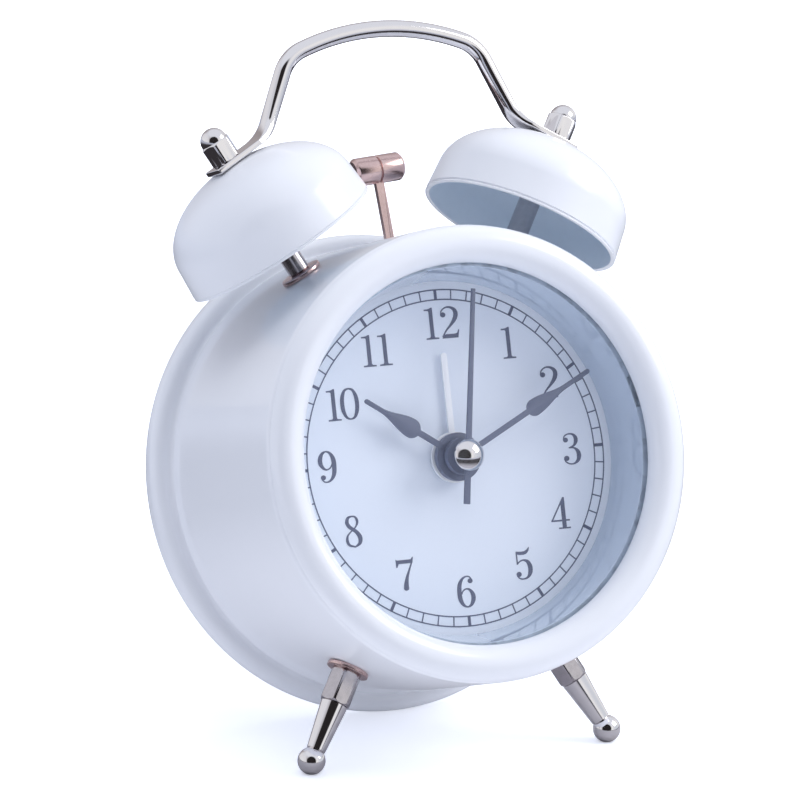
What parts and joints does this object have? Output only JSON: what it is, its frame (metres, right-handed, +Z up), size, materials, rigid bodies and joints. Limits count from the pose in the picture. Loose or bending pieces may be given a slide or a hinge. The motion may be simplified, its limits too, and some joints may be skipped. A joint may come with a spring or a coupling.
{
  "type": "alarm clock",
  "caption": "Round twin-bell table alarm clock with a hammer between the bells, an arched carrying handle, two ball feet and a battery movement behind a plain numbered dial.",
  "frame": {"origin": "on the table, in the middle of the footprint box of the whole clock", "axes": "+Z up, +X to the right as the dial is read, +Y back away from the reader; the dial leans back 19.1 degrees"},
  "size_m": [0.094, 0.0818, 0.135],
  "materials": {
    "white_abs": "gloss",
    "white_enamel": "gloss",
    "chrome_plate": "polished",
    "worn_nickel": "satin",
    "rose_nickel": "satin",
    "clear_lens": "clear",
    "grey_ring": "gloss",
    "dial_card": "matte",
    "grey_ink": "matte",
    "grey_hand": "satin lacquer",
    "white_hand": "satin lacquer",
    "plate_brass": "satin",
    "zinc_steel": "satin",
    "core_iron": "satin",
    "copper_wire": "gloss lacquer",
    "board_green": "satin",
    "wheel_acetal": "satin",
    "grey_abs": "satin",
    "cell_jacket": "satin"
  },
  "bodies": {
    "case": {"case_drum": "white_abs", "front_bezel": "white_abs", "lens": "clear_lens", "dial_ring": "grey_ring", "dial": "dial_card", "minute_track": "grey_ink", "rear_cover": "white_abs", "cover_screws": "zinc_steel", "bell_left": "white_enamel", "bell_right": "white_enamel", "post_left": "worn_nickel", "post_right": "worn_nickel", "stud_washers": "rose_nickel", "inner_nuts": "zinc_steel", "dome_nuts": "chrome_plate", "handle": "chrome_plate", "foot_left": "chrome_plate", "foot_right": "chrome_plate", "foot_hexes": "worn_nickel", "front_plate": "plate_brass", "back_plate": "plate_brass", "plate_pillars": "plate_brass", "plate_screws": "zinc_steel", "stator": "core_iron", "motor_coil": "copper_wire", "circuit_board": "board_green", "quartz_crystal": "zinc_steel", "hammer_pin": "zinc_steel", "magnet_yoke": "core_iron", "magnet_coil": "copper_wire", "rebound_leaf": "zinc_steel", "battery": "cell_jacket", "battery_tray": "grey_abs", "battery_contacts": "zinc_steel"},
    "seconds": {"seconds_wheel": "wheel_acetal", "second_hand": "grey_hand", "hand_cap": "chrome_plate"},
    "third": {"third_wheel": "wheel_acetal"},
    "centre": {"centre_wheel": "wheel_acetal"},
    "intermediate": {"intermediate_wheel": "wheel_acetal"},
    "motor_rotor": {"rotor": "core_iron"},
    "minutes": {"minute_cannon": "plate_brass", "minute_hand": "grey_hand"},
    "motion": {"minute_wheel": "wheel_acetal"},
    "hours": {"hour_wheel": "wheel_acetal", "hour_hand": "grey_hand"},
    "alarm": {"alarm_wheel": "wheel_acetal", "alarm_hand": "white_hand"},
    "time_setter": {"time_arbor": "zinc_steel", "time_knob": "white_abs"},
    "alarm_setter": {"alarm_arbor": "zinc_steel", "alarm_knob": "white_abs"},
    "hammer": {"hammer_arm": "rose_nickel", "hammer_head": "rose_nickel", "armature": "core_iron"},
    "switch": {"alarm_switch": "grey_abs"},
    "door": {"battery_door": "white_abs"}
  },
  "joints": [
    {"name": "seconds_turn", "type": "hinge", "parent": "case", "child": "seconds", "pos_m": [0, 0.00046, 0.05257], "axis": [0, 0.9447, -0.3278], "continuous": true},
    {"name": "third_turn", "type": "hinge", "parent": "case", "child": "third", "pos_m": [-0.01184, -0.00274, 0.04912], "axis": [0, 0.9447, -0.3278], "continuous": true},
    {"name": "centre_turn", "type": "hinge", "parent": "case", "child": "centre", "pos_m": [0, -0.00313, 0.05381], "axis": [0, 0.9447, -0.3278], "continuous": true},
    {"name": "intermediate_turn", "type": "hinge", "parent": "case", "child": "intermediate", "pos_m": [0.00965, 0.00444, 0.05976], "axis": [0, 0.9447, -0.3278], "continuous": true},
    {"name": "rotor_turn", "type": "hinge", "parent": "case", "child": "motor_rotor", "pos_m": [0.00778, 0.00793, 0.06981], "axis": [0, 0.9447, -0.3278], "continuous": true},
    {"name": "minutes_turn", "type": "hinge", "parent": "case", "child": "minutes", "pos_m": [0, -0.00747, 0.05532], "axis": [0, 0.9447, -0.3278], "continuous": true},
    {"name": "minute_wheel_turn", "type": "hinge", "parent": "case", "child": "motion", "pos_m": [0.0096, -0.00747, 0.05532], "axis": [0, 0.9447, -0.3278], "continuous": true},
    {"name": "hours_turn", "type": "hinge", "parent": "case", "child": "hours", "pos_m": [0, -0.00927, 0.05594], "axis": [0, 0.9447, -0.3278], "continuous": true},
    {"name": "time_set_turn", "type": "hinge", "parent": "case", "child": "time_setter", "pos_m": [0.0192, 0.02833, 0.0429], "axis": [0, 0.9447, -0.3278], "continuous": true},
    {"name": "alarm_turn", "type": "hinge", "parent": "case", "child": "alarm", "pos_m": [0, -0.01106, 0.05657], "axis": [0, 0.9447, -0.3278], "continuous": true},
    {"name": "alarm_set_turn", "type": "hinge", "parent": "case", "child": "alarm_setter", "pos_m": [-0.00462, 0.03249, 0.05488], "axis": [0, 0.9447, -0.3278], "continuous": true},
    {"name": "hammer_swing", "type": "hinge", "parent": "case", "child": "hammer", "pos_m": [0, 0.01559, 0.07907], "axis": [0, 0.9447, -0.3278], "range_deg": [-10.4, 10.4], "stiffness_Nm_per_rad": 0.003},
    {"name": "alarm_switch_slide", "type": "slide", "parent": "case", "child": "switch", "axis": [1, 0, 0], "range_m": [0, 0.005]},
    {"name": "battery_door_pull", "type": "slide", "parent": "case", "child": "door", "axis": [0, 0.9447, -0.3278], "range_m": [0, 0.03]}
  ],
  "couplings": [
    {"joint": "third_turn", "follows": "seconds_turn", "ratio": -0.125},
    {"joint": "centre_turn", "follows": "seconds_turn", "ratio": 0.016667},
    {"joint": "intermediate_turn", "follows": "seconds_turn", "ratio": -6},
    {"joint": "rotor_turn", "follows": "seconds_turn", "ratio": 30},
    {"joint": "minute_wheel_turn", "follows": "minutes_turn", "ratio": -0.33333},
    {"joint": "hours_turn", "follows": "minutes_turn", "ratio": 0.083333},
    {"joint": "time_set_turn", "follows": "minutes_turn", "ratio": 1},
    {"joint": "alarm_set_turn", "follows": "alarm_turn", "ratio": -4}
  ]
}
